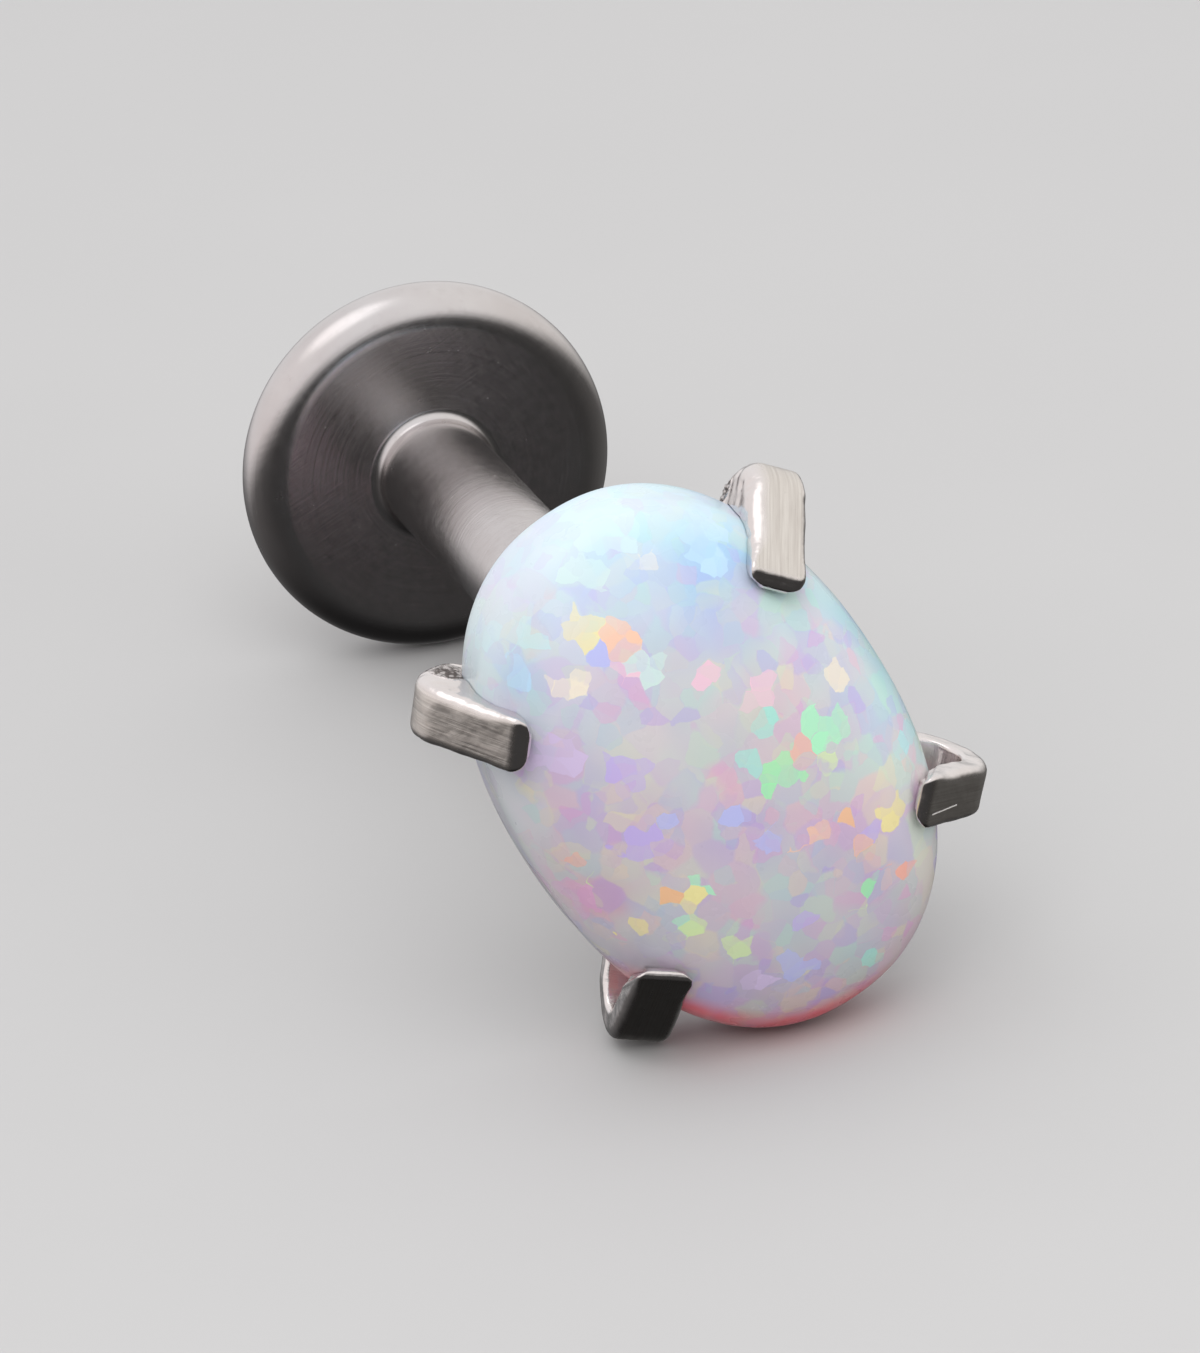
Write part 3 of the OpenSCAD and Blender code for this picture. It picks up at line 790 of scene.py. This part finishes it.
# where the single bright flashes sit: tone, along, across, radius (mm)
FLASHES = [
    ("yellow", -2.27, -0.35, 0.14), ("peach", -2.14, -0.16, 0.16), ("peach", -1.95, -0.09, 0.14), ("periwinkle", -1.96, -0.32, 0.11), ("pink", -1.76, -0.29, 0.1),
    ("sky", -2.23, 1.09, 0.2), ("ice", -2.9, 0.38, 0.25), ("mint_pale", -2.63, -0.03, 0.16), ("cream", -2.49, 0.49, 0.1), ("lilac", -2.76, -0.75, 0.1),
    ("aqua", -2.51, -1.17, 0.13), ("aqua", -2.43, -0.87, 0.13), ("sky", -2.17, -1.13, 0.15), ("mint_pale", -1.72, -0.1, 0.16), ("cream", -1.9, -0.78, 0.12),
    ("mint", -0.29, 1.01, 0.13), ("mint", -0.02, 1.15, 0.13), ("teal", -0.5, 0.6, 0.12), ("coral", -0.11, 0.84, 0.13), ("green", -0.05, 0.53, 0.17),
    ("green", 0.05, 0.3, 0.1), ("teal", -0.3, 0.3, 0.1), ("lime", 0.18, 0.97, 0.09), ("cream", -0.37, 1.47, 0.12), ("orange", 0.8, 0.75, 0.09),
    ("orange", 1.22, 0.77, 0.11), ("peach", 0.76, 0.48, 0.09), ("peach", 0.74, 0.2, 0.09), ("coral", 1.82, 1.04, 0.09), ("coral", 1.57, 0.83, 0.07),
    ("yellow", 1.16, 1.21, 0.11), ("green", 1.63, 0.63, 0.08), ("lime", 1.82, 0.47, 0.08), ("mint", 0.53, -0.8, 0.1), ("yellow", 0.63, -0.96, 0.14),
    ("orange", 0.52, -1.09, 0.08), ("lime", 0.9, -1.09, 0.14), ("teal", 0.85, -1.16, 0.08), ("yellow", 0.65, -1.49, 0.09), ("lime", 0.05, -1.69, 0.09),
    ("coral", -0.3, -1.7, 0.07), ("magenta", 0.1, -1.84, 0.13), ("magenta", 0.32, -1.78, 0.1), ("lime", 1.38, -0.78, 0.13), ("periwinkle", 1.9, -0.37, 0.15),
    ("purple", 1.53, -0.11, 0.1), ("purple", 1.2, 0.91, 0.1), ("lilac", -1.37, -1.26, 0.22), ("purple", -0.97, -0.79, 0.16), ("purple", -0.76, -0.78, 0.1),
    ("periwinkle", -0.32, -0.67, 0.11), ("purple", -0.19, -1.06, 0.18), ("periwinkle", 0.1, -0.15, 0.12), ("periwinkle", 0.44, 0.0, 0.12), ("teal", 2.45, 0.26, 0.1),
    ("magenta", 2.26, 0.57, 0.08), ("pink", -1.32, 0.39, 0.12), ("pink", -0.8, 0.7, 0.16), ("lilac", 1.89, -0.84, 0.13), ("aqua", 0.75, 1.73, 0.14),
]


def opal_material():
    m, n = material("white_opal")
    p = n.new("BsdfPrincipled")
    pos = n.attr("stone")
    u, v, w = n.split(pos)

    def wobble(scale, size):
        return n.vec("SCALE", n.vec("SUBTRACT", n.noise(pos, scale, 2.0, 0.5, colour=True), (0.5, 0.5, 0.5)), size)

    wpos = n.vec("ADD", n.vec("ADD", pos, wobble(3.2, 0.14)), wobble(12.0, 0.035))
    q = n.math("ADD", n.math("POWER", n.math("ABSOLUTE", n.math("DIVIDE", u, RA)), Q), n.math("POWER", n.math("ABSOLUTE", n.math("DIVIDE", v, RB)), Q))
    rim = n.math("POWER", q, 1 / Q)     # 0 in the middle, 1 at the edge of the oval

    # body: cool and bright at one end, greyer at the other
    body = n.ramp(n.span(u, -2.9, 2.9), [
        (0.0, srgb(0.90, 0.965, 0.985)), (0.15, srgb(0.91, 0.95, 0.97)), (0.33, srgb(0.905, 0.905, 0.92)), (0.6, srgb(0.885, 0.88, 0.90)),
        (0.85, srgb(0.865, 0.86, 0.88)), (1.0, srgb(0.88, 0.84, 0.86))])
    aqua = n.span(n.math("ADD", v, n.math("MULTIPLY", u, -0.12)), 1.0, 1.85, 0.0, 0.75, "SMOOTHSTEP")
    col = n.mix(aqua, body, srgb(0.82, 0.945, 0.965))

    # broad soft areas of tint
    soft = n.vec("ADD", pos, wobble(1.6, 0.55))
    su, sv, _ = n.split(soft)
    sflat = n.combine(su, sv, 0.0)
    for tone, a, b, r, k in AREAS:
        on = n.span(n.vec("DISTANCE", sflat, (a, b, 0.0)), r * 0.35, r * 1.25, k, 0.0, "SMOOTHSTEP")
        col = n.mix(on, col, TONES[tone])

    # soft-edged cells: each has one pale colour of its own, which melts into its neighbours'
    def melting(scale, smooth, offset):
        vo = n.new("TexVoronoi", feature="SMOOTH_F1")
        n.put(vo.inputs["Vector"], n.vec("ADD", wpos, offset))
        vo.inputs["Scale"].default_value = scale
        vo.inputs["Smoothness"].default_value = smooth
        return vo

    def cells(scale, smooth, cover, strength, offset, base):
        vo = melting(scale, smooth, offset)
        r, g, b = n.split(vo.outputs["Color"])
        paint = n.combine(n.span(r, 0.1, 0.9, 0.60, 1.0), n.span(g, 0.1, 0.9, 0.50, 0.95), n.span(n.math("ADD", r, g), 0.3, 1.7, 1.0, 0.64))
        here = n.noise(n.vec("ADD", pos, offset), 0.8, 2.0, 0.5)
        limit = n.span(here, 0.35, 0.65, cover * 0.4, cover * 1.5)
        on = n.span(n.math("SUBTRACT", b, limit), 0.06, -0.06, 0.0, strength)
        return n.mix(n.math("MULTIPLY", on, n.span(u, -2.4, -1.0, 0.6, 1.0)), base, paint)

    cloud = n.noise(n.vec("ADD", pos, (5.1, 3.7, 1.4)), 1.5, 1.0, 0.5, colour=True)
    cr, cg, _ = n.split(cloud)
    col = n.mix(0.22, col, n.combine(n.span(cr, 0.35, 0.65, 0.62, 1.0), n.span(cg, 0.35, 0.65, 0.55, 0.95), 0.86))
    col = cells(3.1, 0.24, 0.6, 0.40, (7.3, 2.9, 5.2), col)
    col = cells(5.0, 0.18, 0.40, 0.44, (1.9, 8.3, 2.2), col)

    # painted shade and light: the body is darkened and tinted along its length, less on one long side, where it is
    # even lightened a little
    shade = n.ramp(n.span(u, -2.9, 2.9), [
        (0.0, (0.72, 0.84, 0.90, 1)), (0.2, (0.82, 0.82, 0.86, 1)), (0.45, (0.84, 0.79, 0.79, 1)), (0.75, (0.80, 0.78, 0.80, 1)), (1.0, (0.86, 0.80, 0.80, 1))])
    upper = n.ramp(n.span(u, -1.2, 0.6), [(0.0, (0.84, 0.93, 0.95, 1)), (1.0, (1.02, 0.99, 0.96, 1))])
    shade = n.mix(n.span(v, 0.7, 1.7, 0.0, 0.8), shade, upper)
    shade = n.mix(n.math("MULTIPLY", n.span(v, 0.0, 0.8), n.span(u, -0.9, -1.9)), shade, (0.66, 0.83, 0.90, 1))
    col = n.mix(1.0, col, shade, "MULTIPLY")

    # the brighter flashes: whole small cells whose centre is near a listed spot
    small = melting(5.8, 0.14, (0.0, 0.0, 0.0))
    tone = n.split(small.outputs["Color"])[1]
    sx, sy, _ = n.split(small.outputs["Position"])
    flat = n.combine(sx, sy, 0.0)
    for name in sorted({f[0] for f in FLASHES}):
        mask = None
        for kind, a, b, r in FLASHES:
            if kind == name:
                d = n.math("SUBTRACT", n.vec("DISTANCE", flat, (a, b, 0.0)), r * 1.12)
                mask = d if mask is None else n.math("MINIMUM", mask, d)
        on = n.math("MULTIPLY", n.span(mask, 0.012, -0.012, 0.0, 1.0), n.span(w, 0.05, 0.3))
        on = n.math("MULTIPLY", on, n.span(u, -2.6, -2.1, 0.42, 1.0))     # fainter at the cool end
        col = n.mix(n.math("MULTIPLY", on, n.span(tone, 0.1, 0.9, 0.5, 0.95)), col, TONES[name])

    # pale edge, a painted sheen along the rim that fades out toward the lower end, and a rosy glow low down round the
    # end
    edge = n.math("MULTIPLY", n.span(rim, 0.90, 1.0, 0.0, 0.45, "SMOOTHSTEP"), n.span(u, 1.6, 0.4))
    col = n.mix(edge, col, srgb(0.87, 0.92, 0.94))
    side = n.math("MULTIPLY", n.span(rim, 0.88, 0.97, 0.0, 1.0, "SMOOTHSTEP"), n.span(v, 0.8, 1.4))
    side = n.math("MULTIPLY", side, n.math("MULTIPLY", n.span(u, -1.25, -0.6), n.span(u, 0.95, 0.1)))
    col = n.mix(side, col, (0.71, 0.89, 0.94, 1), "MULTIPLY")     # deeper and cooler along one long side
    low = n.math("ADD", u, n.math("MULTIPLY", v, -0.75))
    glow = n.math("MULTIPLY", n.span(rim, 0.85, 0.95, 0.0, 1.0, "SMOOTHSTEP"), n.span(low, 2.3, 2.95, 0.0, 1.0, "SMOOTHSTEP"))
    glow = n.math("MULTIPLY", glow, n.math("MULTIPLY", n.span(n.noise(wpos, 2.4, 2.0), 0.3, 0.6, 0.6, 1.0), n.span(w, 0.0, 0.9, 0.4, 1.0)))
    col = n.mix(glow, col, srgb(0.97, 0.49, 0.53))
    n.put(p.inputs["Base Color"], col)
    haze = n.noise(pos, 2.2, 3.0, 0.5)
    n.put(p.inputs["Roughness"], n.span(haze, 0.3, 0.7, 0.24, 0.34))
    p.inputs["Metallic"].default_value = 0.0
    p.inputs["IOR"].default_value = 1.40
    p.inputs["Coat Weight"].default_value = 0.15
    p.inputs["Coat Roughness"].default_value = 0.12
    p.inputs["Coat IOR"].default_value = 1.4
    polish = n.noise(pos, 5.0, 4.0, 0.6)
    n.put(p.inputs["Normal"], n.bump(polish, 0.05, 0.00001))
    n.t.links.new(p.outputs[0], n.out.inputs[0])
    return m


# ---------------------------------------------------------------- build the pieces
steel = turned_steel()
claw_steel = filed_steel()
white_opal = opal_material()

post = disc_and_post()
post.data.materials.append(steel)
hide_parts("post_and_disc")
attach(post, "root")

head = setting()
head.data.materials.clear()
head.data.materials.append(claw_steel)
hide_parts("setting")
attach(head, "root")

gem = stone()
gem.data.materials.append(white_opal)
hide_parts("opal")
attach(gem, "root")

# ---------------------------------------------------------------- floor
floor_mat, fn = material("pale_floor")
fp = fn.new("BsdfPrincipled")
co = fn.new("TexCoord").outputs["Object"]
fn.put(fp.inputs["Base Color"], fn.mix(fn.noise(co, 180.0, 3.0), srgb(0.745, 0.745, 0.745), srgb(0.76, 0.76, 0.76)))
fp.inputs["Roughness"].default_value = 0.8
fn.t.links.new(fp.outputs[0], fn.out.inputs[0])
fm = bpy.data.meshes.new("floor")
fm.from_pydata([(-0.6, -0.6, 0), (0.6, -0.6, 0), (0.6, 0.6, 0), (-0.6, 0.6, 0)], [], [(0, 1, 2, 3)])
floor = bpy.data.objects.new("floor", fm)
bpy.context.scene.collection.objects.link(floor)
fm.materials.append(floor_mat)
floor.visible_glossy = False     # mirrors of the metal see the dark lower half of the studio instead

# ---------------------------------------------------------------- camera, from the fit to the photo
VIEW = np.array([-2.590558526259846, -1.3924160771274154, -0.611340612686542])
FOCAL_PX, CAM_X, CAM_Y, CAM_D = 18217.868, 0.8871953, 0.6777294, 180.0
ang = np.linalg.norm(VIEW)
k = VIEW / ang
K = np.array([[0, -k[2], k[1]], [k[2], 0, -k[0]], [-k[1], k[0], 0]])
ROT = np.eye(3) + math.sin(ang) * K + (1 - math.cos(ang)) * K @ K
eye = world(-ROT.T @ np.array([CAM_X, CAM_Y, CAM_D]))
axes = TURN @ ROT.T @ np.diag([1.0, -1.0, -1.0])
cam_data = bpy.data.cameras.new("camera")
cam_data.sensor_width = 36.0
cam_data.lens = 36.0 * FOCAL_PX / 1353.0
cam_data.clip_start = 0.005
cam_data.clip_end = 10.0
cam = bpy.data.objects.new("camera", cam_data)
bpy.context.scene.collection.objects.link(cam)
cam.matrix_world = Matrix([[*axes[0], eye[0]], [*axes[1], eye[1]], [*axes[2], eye[2]], [0, 0, 0, 1]])
bpy.context.scene.camera = cam


# ---------------------------------------------------------------- light
def soft_box(name, where, target, size, watts, colour=(1, 1, 1)):
    d = bpy.data.lights.new(name, "AREA")
    d.shape = "RECTANGLE"
    d.size, d.size_y = size
    d.energy = watts
    d.color = colour
    o = bpy.data.objects.new(name, d)
    bpy.context.scene.collection.objects.link(o)
    o.location = where
    o.rotation_euler = (Vector(target) - Vector(where)).to_track_quat("-Z", "Y").to_euler()
    o.visible_glossy = False
    return o


soft_box("key", (-0.03, -0.09, 0.13), (0, 0, 0.003), (0.12, 0.12), 0.10, (1.0, 0.99, 0.98))
soft_box("fill", (0.09, -0.105, 0.04), (0, 0, 0.003), (0.10, 0.06), 0.035, (1.0, 0.985, 0.98))

w = bpy.data.worlds.new("studio")
bpy.context.scene.world = w
w.use_nodes = True
wn = Nodes.__new__(Nodes)
wn.t = w.node_tree
wn.t.nodes.clear()
wo = wn.new("OutputWorld")
bg = wn.new("Background")
way = wn.new("TexCoord").outputs["Generated"]
dx, dy, dz = wn.split(way)
# a wide bright ceiling that comes down to the horizon behind the stud; dark below and in front
far = wn.math("ADD", wn.math("MINIMUM", dy, 0.57), 0.1)
rise = wn.math("ADD", dz, wn.math("MAXIMUM", wn.math("MULTIPLY", far, 0.6), wn.math("MULTIPLY", far, 0.42)))
rise = wn.math("SUBTRACT", rise, wn.math("MULTIPLY", dx, 0.08))
sky = wn.span(rise, -0.05, 0.45, 0.0, 1.0, "SMOOTHSTEP")
level = wn.span(dz, 0.0, 1.0, 0.90, 1.0)
# a brighter panel overhead, which the rounded edges pick up
panel = wn.span(wn.vec("DOT_PRODUCT", way, (-0.3, 0.25, 0.92)), 0.90, 0.975, 0.0, 0.6, "SMOOTHSTEP")
level = wn.math("ADD", level, panel)
below = wn.math("MULTIPLY", wn.span(dz, -1.0, -0.45, 0.02, 0.12, "SMOOTHSTEP"), wn.span(dy, -0.7, 0.5, 0.4, 1.0))
tint = wn.ramp(wn.span(dx, -1.0, 1.0), [(0.0, (1.0, 0.955, 0.955, 1)), (0.45, (0.985, 0.985, 1.0, 1)), (1.0, (1.0, 0.985, 0.96, 1))])
light = wn.math("ADD", wn.math("MULTIPLY", sky, level), wn.math("MULTIPLY", wn.math("SUBTRACT", 1.0, sky), below))
wn.put(bg.inputs["Color"], tint)
wn.put(bg.inputs["Strength"], light)
wn.t.links.new(bg.outputs[0], wo.inputs["Surface"])
bpy.context.scene.view_settings.view_transform = "Standard"
